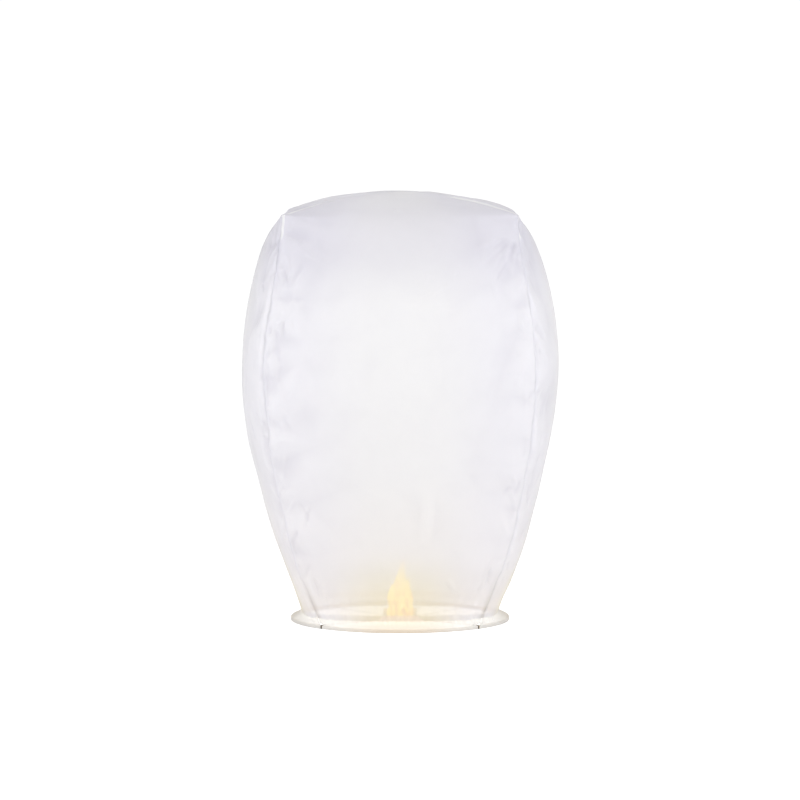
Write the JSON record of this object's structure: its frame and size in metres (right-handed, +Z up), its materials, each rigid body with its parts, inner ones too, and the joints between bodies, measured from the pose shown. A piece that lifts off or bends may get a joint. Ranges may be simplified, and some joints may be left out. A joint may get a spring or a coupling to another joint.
{
  "type": "sky lantern",
  "caption": "Sky lantern with a white paper bag of curved gores, a bamboo hoop, crossed wires in the mouth and a waxed fuel cell on a pin.",
  "frame": {"origin": "on the floor, under the middle of the hoop that the lantern stands on", "axes": "+Z up along the bag's axis, -Y towards the front gore's middle, +X to the right; the four glued seams are on the diagonals"},
  "size_m": [0.55, 0.55, 0.747],
  "materials": {
    "tissue": "matt translucent tissue",
    "hem_paper": "matt translucent tissue, folded double",
    "tape": "matt paper tape",
    "bamboo": "split bamboo",
    "iron_wire": "annealed iron wire",
    "waxed_paper": "waxed, satin"
  },
  "bodies": {
    "frame": {"gore_front": "tissue", "gore_right": "tissue", "gore_back": "tissue", "gore_left": "tissue", "hem_front": "hem_paper", "hem_right": "hem_paper", "hem_back": "hem_paper", "hem_left": "hem_paper", "bamboo_hoop": "bamboo", "scarf_tape": "tape", "cross_wire_lower": "iron_wire", "cross_wire_upper": "iron_wire", "fuel_pin": "iron_wire"},
    "crown": {"crown_patch": "tissue"},
    "fuel_cell": {"fuel_sheet_1": "waxed_paper", "fuel_sheet_2": "waxed_paper", "fuel_sheet_3": "waxed_paper", "fuel_sheet_4": "waxed_paper", "fuel_sheet_5": "waxed_paper", "fuel_sheet_6": "waxed_paper"}
  },
  "joints": [
    {"name": "fuel_lift", "type": "slide", "parent": "frame", "child": "fuel_cell", "axis": [0, 0, 1], "range_m": [0, 0.04]},
    {"name": "bag_collapse", "type": "slide", "parent": "frame", "child": "crown", "axis": [0, 0, -1], "range_m": [0, 0.65], "deforming": ["gore_front", "gore_right", "gore_back", "gore_left"]}
  ]
}
